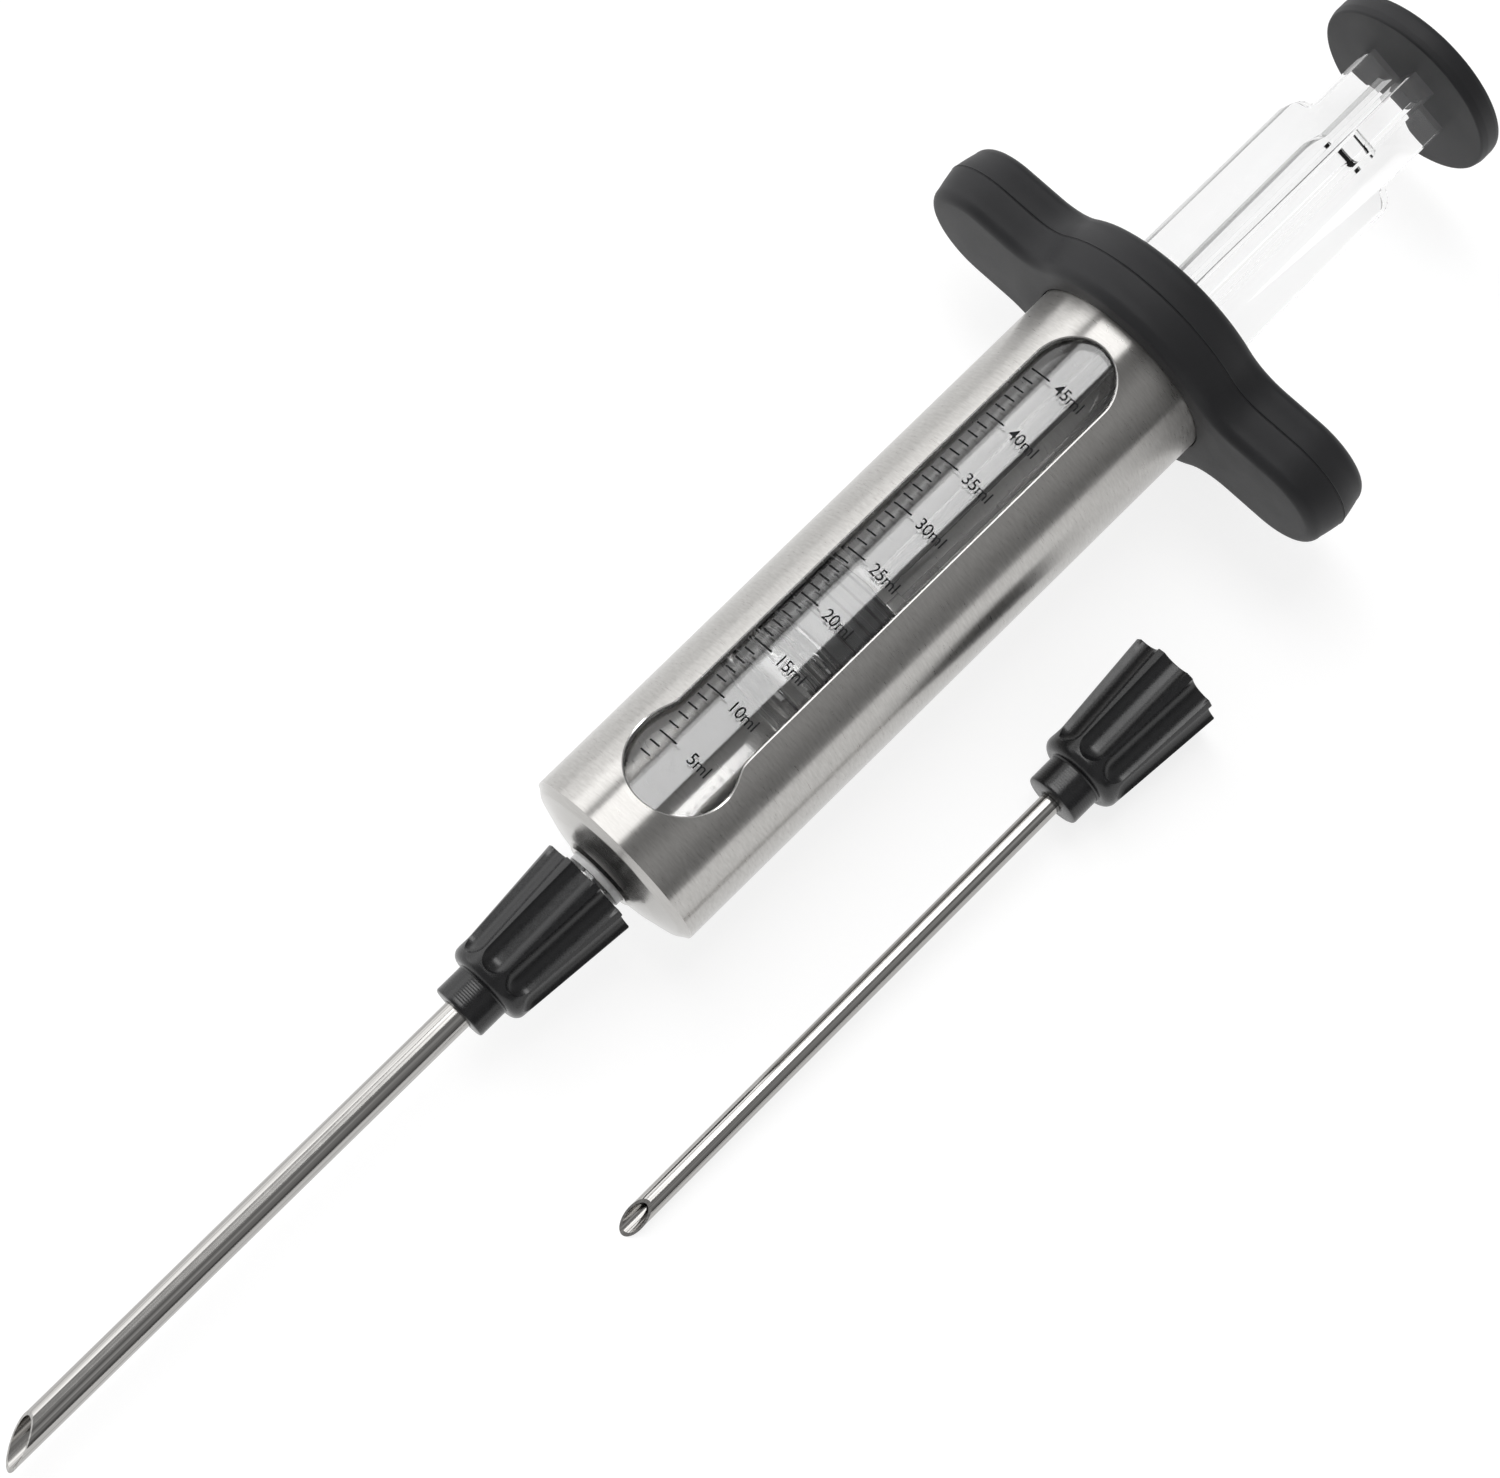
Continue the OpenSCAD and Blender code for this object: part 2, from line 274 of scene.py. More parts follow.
def brushed(name, dark, light, rough, grain, aniso, depth, cone=False):
    """Steel brushed around its axis: long streaks round it, fine lines across."""
    n = Nodes(name)
    x, y, z = n.place()
    turn = n.math("MULTIPLY", n.math("ARCTAN2", y, x), SLEEVE_R)
    across = z
    if cone:
        across = n.math("POWER", n.math("ADD", n.math("MULTIPLY", x, x), n.math("MULTIPLY", y, y)), 0.5)
    fine_at = n.vector(n.math("MULTIPLY", turn, grain[0]), n.math("MULTIPLY", across, grain[1]), 0.0)
    fine = n.noise(fine_at, 1.0, 4.0, 0.65)
    broad_at = n.vector(n.math("MULTIPLY", turn, 0.05), n.math("MULTIPLY", across, 0.35), 4.0)
    broad = n.noise(broad_at, 1.0, 2.0)
    n.tint(n.span(fine, 0.0, 1.0), dark, light)
    both = n.math("ADD", n.math("MULTIPLY", fine, 0.7), n.math("MULTIPLY", broad, 0.3))
    n.wire(n.span(both, rough[0], rough[1]), n.bsdf.inputs["Roughness"])
    n.put(Metallic=1.0, Anisotropic=aniso, Anisotropic_Rotation=0.25)
    tangent = n.add("ShaderNodeTangent", direction_type="RADIAL", axis="Z")
    n.wire(tangent.outputs[0], n.bsdf.inputs["Tangent"])
    n.bump(fine, depth, 0.00003)
    return n.mat


def drawn_tube(name):
    """Polished needle steel with painted reflections: long dark streaks along it in its colour, which also
    bump its surface.
    """
    n = Nodes(name)
    x, y, z = n.place()
    turn = n.math("MULTIPLY", n.math("ARCTAN2", y, x), NEEDLE_R)
    painted_reflection_streaks_at = n.vector(n.math("MULTIPLY", turn, 3.2), n.math("MULTIPLY", z, 0.012), 0.0)
    lines = n.noise(painted_reflection_streaks_at, 1.0, 2.0)
    spots_at = n.vector(n.math("MULTIPLY", x, 0.6), n.math("MULTIPLY", y, 0.6), n.math("MULTIPLY", z, 0.4))
    spots = n.noise(spots_at, 1.0, 2.0)
    # painted reflection: the long streaks darken and lighten the base colour along the needle in place of the
    # studio's reflections
    n.tint(n.span(lines, 0.0, 1.0), (0.26, 0.253, 0.246), (0.56, 0.549, 0.532))
    n.wire(n.span(spots, 0.10, 0.16), n.bsdf.inputs["Roughness"])
    n.put(Metallic=1.0)
    n.bump(lines, 0.12, 0.00002)
    return n.mat


def polished(name, colour, low, high):
    """Bright steel with soft spots of polish."""
    n = Nodes(name)
    x, y, z = n.place()
    spots = n.noise(n.vector(x, y, z), 0.9, 4.0)
    n.wire(n.span(spots, low, high), n.bsdf.inputs["Roughness"])
    n.tint(spots, tuple(c * 0.94 for c in colour), colour)
    n.put(Metallic=1.0)
    n.bump(spots, 0.05, 0.00002)
    return n.mat


def soft_touch(name):
    """Matte rubbery coat with a very fine grain, slightly polished where it is handled."""
    n = Nodes(name)
    x, y, z = n.place()
    vec = n.vector(x, y, z)
    grain = n.noise(vec, 9.0, 4.0, 0.7)
    cloud = n.noise(vec, 0.12, 3.0, 0.5)
    n.tint(n.span(cloud, 0.0, 1.0), (0.014, 0.014, 0.0155), (0.02, 0.02, 0.022))
    both = n.math("ADD", n.math("MULTIPLY", grain, 0.45), n.math("MULTIPLY", cloud, 0.55))
    n.wire(n.span(both, 0.46, 0.64), n.bsdf.inputs["Roughness"])
    n.put(Specular_IOR_Level=0.32, Sheen_Weight=0.04, Sheen_Roughness=0.4)
    n.bump(grain, 0.22, 0.00004)
    return n.mat


def moulded(name, dark, light, low, high, depth=0.06, scale=1.4, gloss=0.5):
    """Glossy or satin moulded plastic or rubber."""
    n = Nodes(name)
    x, y, z = n.place()
    vec = n.vector(x, y, z)
    wave = n.noise(vec, scale, 3.0, 0.5)
    fine = n.noise(vec, 14.0, 2.0, 0.5)
    n.tint(n.span(wave, 0.0, 1.0), dark, light)
    both = n.math("ADD", n.math("MULTIPLY", wave, 0.6), n.math("MULTIPLY", fine, 0.4))
    n.wire(n.span(both, low, high), n.bsdf.inputs["Roughness"])
    n.put(Specular_IOR_Level=gloss)
    n.bump(both, depth, 0.00005)
    return n.mat


def clear(name, ior=1.58, low=0.0, high=0.02, depth=0.01, tint=0.99):
    """Clear moulded plastic with faint flow lines."""
    n = Nodes(name)
    x, y, z = n.place()
    flow_at = n.vector(n.math("MULTIPLY", x, 0.35), n.math("MULTIPLY", y, 0.35), n.math("MULTIPLY", z, 0.06))
    flow = n.noise(flow_at, 1.0, 2.0)
    n.wire(n.span(flow, low, high), n.bsdf.inputs["Roughness"])
    n.put(Base_Color=(tint, tint, tint, 1), Transmission_Weight=1.0, IOR=ior)
    n.bump(flow, depth, 0.00005)
    return n.mat


STEEL = brushed("satin_steel", (0.40, 0.39, 0.376), (0.54, 0.53, 0.514), (0.25, 0.34), (0.5, 2.6), 0.95, 0.22)
STEEL_NOSE = brushed(
    "spun_steel", (0.45, 0.44, 0.425), (0.53, 0.52, 0.505), (0.2, 0.26), (0.3, 6.0), 0.7, 0.05, cone=True)
EDGE = polished("bright_edge", (0.72, 0.71, 0.695), 0.2, 0.3)
CAP_STEEL = polished("polished_steel", (0.74, 0.73, 0.715), 0.12, 0.2)
NEEDLE = drawn_tube("needle_steel")
SOFT = soft_touch("soft_black")
HUB_BLACK = moulded("hub_black", (0.006, 0.006, 0.007), (0.011, 0.011, 0.012), 0.22, 0.32)
RUBBER = moulded("seal_rubber", (0.008, 0.008, 0.009), (0.015, 0.015, 0.016), 0.3, 0.45)
WASHER = moulded("washer_rubber", (0.09, 0.09, 0.09), (0.13, 0.13, 0.13), 0.5, 0.65)
MILKY = moulded("milky_plastic", (0.62, 0.62, 0.62), (0.72, 0.72, 0.72), 0.15, 0.25)
CLEAR = clear("clear_plastic")
CLEAR_ROD = clear("clear_rod", ior=1.49, depth=0.02, tint=0.94)
INK = moulded("scale_ink", (0.02, 0.02, 0.021), (0.03, 0.03, 0.031), 0.7, 0.85, gloss=0.08)

# ---------------------------------------------------------------------------
# Sleeve: a tube whose rows end on the window's edge
# ---------------------------------------------------------------------------

SLOT_R = SLOT_W / 2
SLOT_C = SLOT_END - SLOT_R
JOIN = 0.9  # rounding where the keyhole's circle meets the slot


def window_half(z, grow=0.0):
    """Half the window's width at a height, or 0 outside it."""
    circle = sqrt(max(0.0, (KEYHOLE_R + grow) ** 2 - (z - KEYHOLE_Z) ** 2))
    if z > SLOT_C:
        return sqrt(max(0.0, (SLOT_R + grow) ** 2 - (z - SLOT_C) ** 2))
    if z < KEYHOLE_Z:
        return circle
    # smooth maximum of circle and slot
    d = (circle - (SLOT_R + grow)) / JOIN
    return SLOT_R + grow + (JOIN * 0.5 * (d + sqrt(d * d + 0.35)) if d > -6 else 0.0)


def sleeve_heights(grow):
    """Heights of the rows, close together where the window's edge curves."""
    low, high = KEYHOLE_Z - KEYHOLE_R - grow, SLOT_END + grow
    zs = [0.0, 0.12, 0.5, 1.5, 3.0, 4.6, low - 0.6]
    steps = 30
    zs += [KEYHOLE_Z - (KEYHOLE_R + grow) * cos(pi / 2 * i / steps) for i in range(steps + 1)]
    join = KEYHOLE_Z + sqrt(KEYHOLE_R**2 - SLOT_R**2)
    zs += [KEYHOLE_Z + (join - 1.0 - KEYHOLE_Z) * i / 8 for i in range(1, 9)]
    zs += [join - 1.0 + 3.0 * i / 16 for i in range(1, 17)]
    first = join + 2.0
    zs += [first + (SLOT_C - first) * i / 24 for i in range(1, 25)]
    zs += [SLOT_C + (SLOT_R + grow) * sin(pi / 2 * i / steps) for i in range(1, steps + 1)]
    zs += [high + 0.6, GRIP_Z - 1.5, GRIP_Z, SLEEVE_END]
    return zs


def sleeve():
    n = 144
    bm = bmesh.new()
    chamfer = 0.16

    def sheet(r, grow, mat):
        rows, edge = [], []
        for z in sleeve_heights(grow):
            half = window_half(z, grow) if KEYHOLE_Z - KEYHOLE_R - grow < z < SLOT_END + grow else 0.0
            start = asin(min(1.0, half / SLEEVE_R))
            row = []
            for i in range(n + 1):
                a = start + (2 * pi - 2 * start) * i / n
                row.append(bm.verts.new((r * cos(a), r * sin(a), z)))
            rows.append(row)
            edge.append((row[0], row[-1], half > 0))
        skin(bm, rows, closed=False, mat=mat)
        return rows, edge

    outer, outer_edge = sheet(SLEEVE_R, chamfer, 0)
    _, middle_edge = sheet(SLEEVE_R - chamfer, 0.0, 1)
    inner, inner_edge = sheet(SLEEVE_R - SHEET, 0.0, 0)
    # the middle sheet only lends its window edge
    keep = {v for pair in middle_edge for v in pair[:2]}
    bmesh.ops.delete(bm, geom=[f for f in bm.faces if f.material_index == 1], context="FACES_ONLY")
    bmesh.ops.delete(bm, geom=[v for v in bm.verts if not v.link_faces and v not in keep], context="VERTS")
    for a, b in ((outer_edge, middle_edge), (middle_edge, inner_edge)):
        for k in range(len(a) - 1):
            if not (a[k][2] or a[k + 1][2]):
                continue
            for s in (0, 1):
                quad = [a[k][s], a[k + 1][s], b[k + 1][s], b[k][s]]
                f = bm.faces.new(quad)
                f.material_index = 1
    # rim at the front, with a tiny bright corner
    front = [bm.verts.new(v.co) for v in outer[0]]
    for v in front:
        v.co.z = 0.0
        r = Vector((v.co.x, v.co.y)).length
        v.co.x *= (SLEEVE_R - 0.1) / r
        v.co.y *= (SLEEVE_R - 0.1) / r
    for i in range(len(front) - 1):
        f = bm.faces.new([outer[0][i], outer[0][i + 1], front[i + 1], front[i]])
        f.material_index = 1
        bm.faces.new([front[i], front[i + 1], inner[0][i + 1], inner[0][i]])
        bm.faces.new([outer[-1][i], outer[-1][i + 1], inner[-1][i + 1], inner[-1][i]])
    mesh = to_mesh(bm, "sleeve", 30)
    return link("sleeve", mesh, LAY, "barrel", "outer_shell", (STEEL, EDGE))


sleeve()


# ---------------------------------------------------------------------------
# Nose, barrel, ring
# ---------------------------------------------------------------------------

nose_out = fillet(
    [(SLEEVE_R - 0.1, 0.0), (14.3, -1.0), (10.2, -2.15), (6.5, -2.85), (5.75, -NOSE_H), (4.9, -NOSE_H),
     (4.9, -2.2)],
    [0, 1.6, 6.0, 0.8, 0.28, 0.3, 0], 7)
nose_in = [(4.9, -2.2), (6.2, -2.05), (10.0, -1.35), (14.0, -0.2), (SLEEVE_R - SHEET, 0.3)]
link("nose", revolve("nose", nose_out + nose_in, 160), LAY, "barrel", "nose_cap", (STEEL_NOSE,))

thread = []
for k in range(5):
    z = -6.0 - 1.3 * k
    thread += [(NOZZLE_R, z), (NOZZLE_R - 0.45, z - 0.3), (NOZZLE_R - 0.45, z - 0.65), (NOZZLE_R, z - 0.95)]
barrel_profile = (
    [(1.6, -NOZZLE_LEN), (NOZZLE_R - 0.5, -NOZZLE_LEN), (NOZZLE_R, -NOZZLE_LEN + 0.5)]
    + thread[::-1]
    + [(NOZZLE_R, -5.0), (NOZZLE_R, -1.95), (6.1, -1.95), (9.9, -1.2), (13.4, 0.05), (BARREL_R, 1.2),
       (BARREL_R, 109.9), (17.6, 110.3), (17.6, SEAM_Z - 0.05), (BORE_R, SEAM_Z - 0.05),
       (BORE_R, FLOOR_Z + 0.4), (BORE_R - 0.4, FLOOR_Z), (4.0, FLOOR_Z - 0.6), (1.6, FLOOR_Z - 1.0)]
)
barrel_mesh = revolve("barrel_tube", barrel_profile, 160, loop=True)
barrel = link("barrel_tube", barrel_mesh, LAY, "barrel", "clear_barrel", (CLEAR,))
barrel.visible_shadow = False
link("collar_ring",
     revolve("collar_ring", fillet([(4.47, -4.4), (4.8, -4.4), (4.8, -2.0), (4.47, -2.0)], 0.1, 3), 96),
     LAY, "barrel", "nozzle_ring", (MILKY,))

# ---------------------------------------------------------------------------
# Volume scale printed on the barrel
# ---------------------------------------------------------------------------

PRINT_R = BARREL_R + 0.02


def on_barrel(bm, z, turn_mm):
    """Vertex on the tube at a height and an arc length from the window's middle, towards +Y."""
    a = -turn_mm / PRINT_R
    return bm.verts.new((PRINT_R * cos(a), PRINT_R * sin(a), z))


def strip(bm, z0, z1, t0, t1, steps):
    rows = [[on_barrel(bm, z, t0 + (t1 - t0) * i / steps) for i in range(steps + 1)] for z in (z0, z1)]
    skin(bm, rows, closed=False)


def number_mesh(words):
    """Filled letters as a small mesh with short edges, so that they can follow the tube."""
    curve = bpy.data.curves.new("mark", "FONT")
    curve.body = words
    curve.size = 2.8
    curve.offset = 0.008
    text = bpy.data.objects.new("mark", curve)
    scene.collection.objects.link(text)
    bpy.context.view_layer.update()
    flat = bpy.data.meshes.new_from_object(text.evaluated_get(bpy.context.evaluated_depsgraph_get()))
    bm = bmesh.new()
    bm.from_mesh(flat)
    bmesh.ops.triangulate(bm, faces=bm.faces)
    long = [e for e in bm.edges if e.calc_length() > 0.5]
    bmesh.ops.subdivide_edges(bm, edges=long, cuts=1)
    bpy.data.objects.remove(text)
    bpy.data.curves.remove(curve)
    bpy.data.meshes.remove(flat)
    return bm


def scale_print():
    bm = bmesh.new()
    half = 0.15
    narrow, text_end = 0.93, -4.2
    tick_in, tick_five, tick_out = 3.8, 2.15, 5.9
    for ml in range(3, 46):
        z = TICK_0 + ML * ml
        strip(bm, z - half, z + half, tick_five if ml % 5 == 0 else tick_in, tick_out, 6)
    for five in range(5, 46, 5):
        letters = number_mesh(f"{five}ml")
        xs = [v.co.x for v in letters.verts]
        digits = [v.co.y for v in letters.verts if v.co.x < min(xs) + 1.0]
        y_mid = (min(digits) + max(digits)) / 2
        z_mid = TICK_0 + ML * five
        moved = {}
        for v in letters.verts:
            turn_mm = text_end + (max(xs) - v.co.x) * narrow
            moved[v] = on_barrel(bm, z_mid + (v.co.y - y_mid), turn_mm)
        for f in letters.faces:
            bm.faces.new([moved[v] for v in f.verts])
        letters.free()
    bmesh.ops.scale(bm, vec=(MM, MM, MM), verts=bm.verts)
    mesh = bpy.data.meshes.new("scale_print")
    bm.to_mesh(mesh)
    bm.free()
    mark = link("scale_print", mesh, LAY, "barrel", None, (INK,))
    return mark


scale_print()

# ---------------------------------------------------------------------------
# Grip halves: the outline drawn in from its seam, with round edges
# ---------------------------------------------------------------------------


def grip_outline(step=0.8):
    """Points and outward normals round the grip, one quarter mirrored four times."""
    wx = WING_R + WAIST_R
    wy = sqrt((BULGE_R + WAIST_R) ** 2 - wx**2)
    quarter = []

    def arc(cx, cy, r, a0, a1, inward=False):
        count = max(3, int(abs(a1 - a0) * r / step))
        for i in range(count):
            a = a0 + (a1 - a0) * i / count
            d = Vector((cos(a), sin(a)))
            quarter.append((Vector((cx, cy)) + d * r, -d if inward else d))

    lean = atan2(wy, wx)
    arc(0, 0, BULGE_R, 0, lean)
    arc(wx, wy, WAIST_R, lean + pi, pi, inward=True)
    count = int((WING_Y - wy) / step)
    for i in range(count):
        quarter.append((Vector((WING_R, wy + (WING_Y - wy) * i / count)), Vector((1, 0))))
    arc(0, WING_Y, WING_R, 0, pi / 2)
    quarter.append((Vector((0, WING_Y + WING_R)), Vector((0, 1))))
    second = [(Vector((-p.x, p.y)), Vector((-d.x, d.y))) for p, d in reversed(quarter[:-1])]
    half = quarter + second
    other = [(Vector((p.x, -p.y)), Vector((d.x, -d.y))) for p, d in reversed(half[1:-1])]
    return half + other


OUTLINE = grip_outline()


def grip_half(name, z_face, z_seam, hole, node, recess=None):
    """One half, from its hole over the face and round edge to the seam, and back inside."""
    s = 1 if z_seam > z_face else -1
    bm = bmesh.new()
    edge, draft, base = 1.9, 0.75, 0.06
    steps = 9

    def outline_row(inset, z):
        return [bm.verts.new((*(p - d * inset), z)) for p, d in OUTLINE]

    def hole_row(r, z):
        return [bm.verts.new((r * cos(a), r * sin(a), z)) for a in (atan2(p.y, p.x) for p, _ in OUTLINE)]

    def blend_row(t, z):
        a = hole_row(hole + 0.35, z)
        row = []
        for v, (p, d) in zip(a, OUTLINE):
            q = p - d * (draft + base + edge)
            row.append(bm.verts.new((v.co.x + (q.x - v.co.x) * t, v.co.y + (q.y - v.co.y) * t, z)))
            bm.verts.remove(v)
        return row

    rows = [hole_row(hole, z_seam)]
    if recess:
        floor_z = z_seam - s * recess[1]
        rows = [hole_row(recess[0], z_seam), hole_row(recess[0], floor_z), hole_row(hole, floor_z)]
    rows += [hole_row(hole, z_face + s * 0.35), hole_row(hole + 0.1, z_face + s * 0.1)]
    rows += [blend_row(t, z_face) for t in (0.0, 0.25, 0.5, 0.75, 1.0)]
    for i in range(1, steps + 1):
        a = pi / 2 * i / steps
        rows.append(outline_row(draft + base + edge * (1 - sin(a)), z_face + s * edge * (1 - cos(a))))
    rise = abs(z_seam - z_face) - edge
    for t in (0.25, 0.5, 0.75, 0.93):
        rows.append(outline_row(base + draft * (1 - t) ** 1.3, z_face + s * (edge + rise * t)))
    # a faint raised line along the seam
    rows.append(outline_row(base + 0.012, z_seam - s * 0.17))
    rows.append(outline_row(0.0, z_seam - s * 0.09))
    rows.append(outline_row(base + 0.02, z_seam - s * 0.012))
    rows.append([bm.verts.new(((p - d * 3).x, (p - d * 3).y, z_seam - s * 0.012)) for p, d in OUTLINE])
    skin(bm, rows)
    return link(name, to_mesh(bm, name, 40), LAY, "barrel", node, (SOFT,))


grip_half("grip_front_half", GRIP_Z, SEAM_Z, SLEEVE_R + 0.12, "grip_front")
grip_half("grip_rear_half", GRIP_END, SEAM_Z, ROD_HOLE_R, "grip_rear", (RECESS_R, RECESS_T))

# ---------------------------------------------------------------------------
# Piston
# ---------------------------------------------------------------------------

lands = [(0, 2.7), (3.0, 1.9), (6.35, 0.9), (8.75, 0.9), (10.6, 0.4)]
seal = [(STUD_R + 0.05, 0.0)]
for z, h in lands:
    if z > 0:
        seal.append((SEAL_R - 0.9, z - 0.12))
    seal += [(SEAL_R, z), (SEAL_R, z + h)]
    if z + h < SEAL_LEN:
        seal.append((SEAL_R - 0.9, z + h + 0.12))
seal += [(STUD_R + 0.05, SEAL_LEN)]
seal = [(r, z + SEAL_Z) for r, z in fillet(seal, 0.1, 3)]
link("seal", revolve("seal", seal, 128, loop=True), LAY, "seal", "piston_seal", (RUBBER,))

nose = fillet(
    [(0, 0), (PISTON_R, 0), (PISTON_R, 3.8), (PISTON_R - 1.4, 3.8), (PISTON_R - 1.4, 5.1),
     (PISTON_R - 0.4, 5.1), (PISTON_R - 4.2, 8.0), (PISTON_R - 0.2, 8.4), (PISTON_R - 0.2, NOSE_LEN),
     (STUD_R, NOSE_LEN), (STUD_R, NOSE_LEN - 5), (0, NOSE_LEN - 5)],
    [0, 0.8, 0.2, 0.15, 0.15, 0.2, 0.5, 0.15, 0.15, 0, 0, 0], 4)
tip_mesh = revolve("piston_tip", [(r, z + PISTON_Z) for r, z in nose], 128)
tip = link("piston_tip", tip_mesh, LAY, "plunger", "piston_nose", (CLEAR,))
tip.visible_shadow = False

# ---------------------------------------------------------------------------
# Plunger: a cross of two ribs on a plate, joined and bevelled
# ---------------------------------------------------------------------------


def rib(angle):
    """One flat rib right across the plunger, with rounded shoulders up to its neck."""
    r, hollow = 3.0, 0.7  # rounding of the shoulder, and of the corner where the neck starts
    side = [(RIB_R, ROD_Z - 1.0)]
    for a in (pi / 2 * i / 8 for i in range(9)):
        side.append((RIB_R - r + r * cos(a), SHOULDER_Z - r + r * sin(a)))
    for a in (pi / 2 * i / 4 for i in range(5)):
        side.append((NECK_R + hollow * (1 - sin(a)), SHOULDER_Z + hollow * (1 - cos(a))))
    side = [p for i, p in enumerate(side) if i == 0 or (Vector(p) - Vector(side[i - 1])).length > 0.01]
    side = [p for p in side if p[0] >= NECK_R - 1e-6]
    side += [(NECK_R, PAD_Z + 1.8)]
    outline = side + [(-x, z) for x, z in reversed(side)]
    bm = bmesh.new()
    caps = [[bm.verts.new((x, y, z)) for x, z in outline] for y in (-RIB_T / 2, RIB_T / 2)]
    skin(bm, caps)
    for c in caps:
        bm.faces.new(c)
    bmesh.ops.rotate(bm, verts=bm.verts, cent=(0, 0, 0), matrix=Matrix.Rotation(radians(angle), 3, "Z"))
    return to_mesh(bm, "rib")


def joined(name, meshes, matrix, body, node, mat, bevel):
    """Unites the meshes into one piece and bevels its edges."""
    objs = []
    for i, m in enumerate(meshes):
        o = bpy.data.objects.new(f"{name}_{i}", m)
        scene.collection.objects.link(o)
        objs.append(o)
    base = objs[0]
    for o in objs[1:]:
        mod = base.modifiers.new("join", "BOOLEAN")
        mod.operation = "UNION"
        mod.solver = "EXACT"
        mod.object = o
    if bevel:
        mod = base.modifiers.new("bevel", "BEVEL")
        mod.width = bevel * MM
        mod.segments = 3
        mod.limit_method = "ANGLE"
        mod.angle_limit = radians(40)
        mod.harden_normals = False
    bpy.context.view_layer.update()
    mesh = bpy.data.meshes.new_from_object(base.evaluated_get(bpy.context.evaluated_depsgraph_get()))
    for o in objs:
        bpy.data.objects.remove(o)
    bm = bmesh.new()
    bm.from_mesh(mesh)
    for e in bm.edges:
        e.smooth = not (len(e.link_faces) == 2 and e.calc_face_angle(0) > radians(32))
    for f in bm.faces:
        f.smooth = True
        f.material_index = 0
    bm.to_mesh(mesh)
    bm.free()
    mesh.name = name
    mesh.materials.clear()
    return link(name, mesh, matrix, body, node, (mat,))


plate_profile = [(0, PLATE_Z), (PISTON_R, PLATE_Z), (PISTON_R, ROD_Z), (0, ROD_Z)]
plate = revolve("plate", fillet(plate_profile, 0.3, 3), 96)
stud_r, stud_low, stud_high = STUD_R - 0.03, PLATE_Z - SEAL_LEN - 4.7, PLATE_Z + 0.4
stud = revolve("stud", [(0, stud_low), (stud_r, stud_low), (stud_r, stud_high), (0, stud_high)], 48)
rod_parts = [rib(RIB_TURN), rib(RIB_TURN + 90), plate, stud]
rod = joined("plunger", rod_parts, LAY, "plunger", "plunger_rod", CLEAR_ROD, 0.28)
rod.visible_shadow = False

# ---------------------------------------------------------------------------
# Thumb pad and its steel cap
# ---------------------------------------------------------------------------

pad = fillet(
    [(0, PAD_Z), (PAD_R - 0.3, PAD_Z), (PAD_R, PAD_Z + 1.2), (PAD_R, PAD_Z + PAD_T - 0.9),
     (PAD_R - 0.15, PAD_Z + PAD_T), (CAP_R + 0.1, PAD_Z + PAD_T), (CAP_R + 0.1, CAP_Z), (0, CAP_Z)],
    [0, 0.45, 1.0, 0.5, 0.7, 0.15, 0.1, 0], 6)
link("thumb_disc", revolve("thumb_disc", pad, 144), LAY, "plunger", "thumb_pad", (SOFT,))
cap = fillet(
    [(0, CAP_Z + 0.02), (CAP_R, CAP_Z + 0.02), (CAP_R, CAP_TOP - 0.05), (CAP_R - 3.5, CAP_TOP), (0, CAP_TOP)],
    [0, 0, 0.7, 6.0, 0], 8)
link("thumb_plate", revolve("thumb_plate", cap, 144), LAY, "plunger", "thumb_cap", (CAP_STEEL,))

# ---------------------------------------------------------------------------
# Hub: rows that follow the flutes, so that their ridges stay crisp
# ---------------------------------------------------------------------------

SLOPE = (HUB_R - SHOULDER_R) / (HUB_LEN - HUB_ROUND)


def crest(depth):
    """Outer radius of the hub's body at a depth from its open end."""
    straight = HUB_LEN - HUB_ROUND
    if depth <= straight:
        return HUB_R - SLOPE * depth
    d = min(HUB_ROUND, depth - straight)
    return SHOULDER_R - HUB_ROUND + sqrt(max(0.0, HUB_ROUND**2 - d * d))


def flute_at(depth):
    """Centre distance and radius of a flute's cutter at a depth, or None beyond its round end."""
    centre = HUB_R + FLUTE_OUT - SLOPE * depth
    end = HUB_LEN - FLUTE_BACK
    over = depth - end
    if over <= 0:
        return centre, FLUTE_R
    if over >= FLUTE_R:
        return centre, 0.0
    return centre, sqrt(FLUTE_R**2 - over * over)


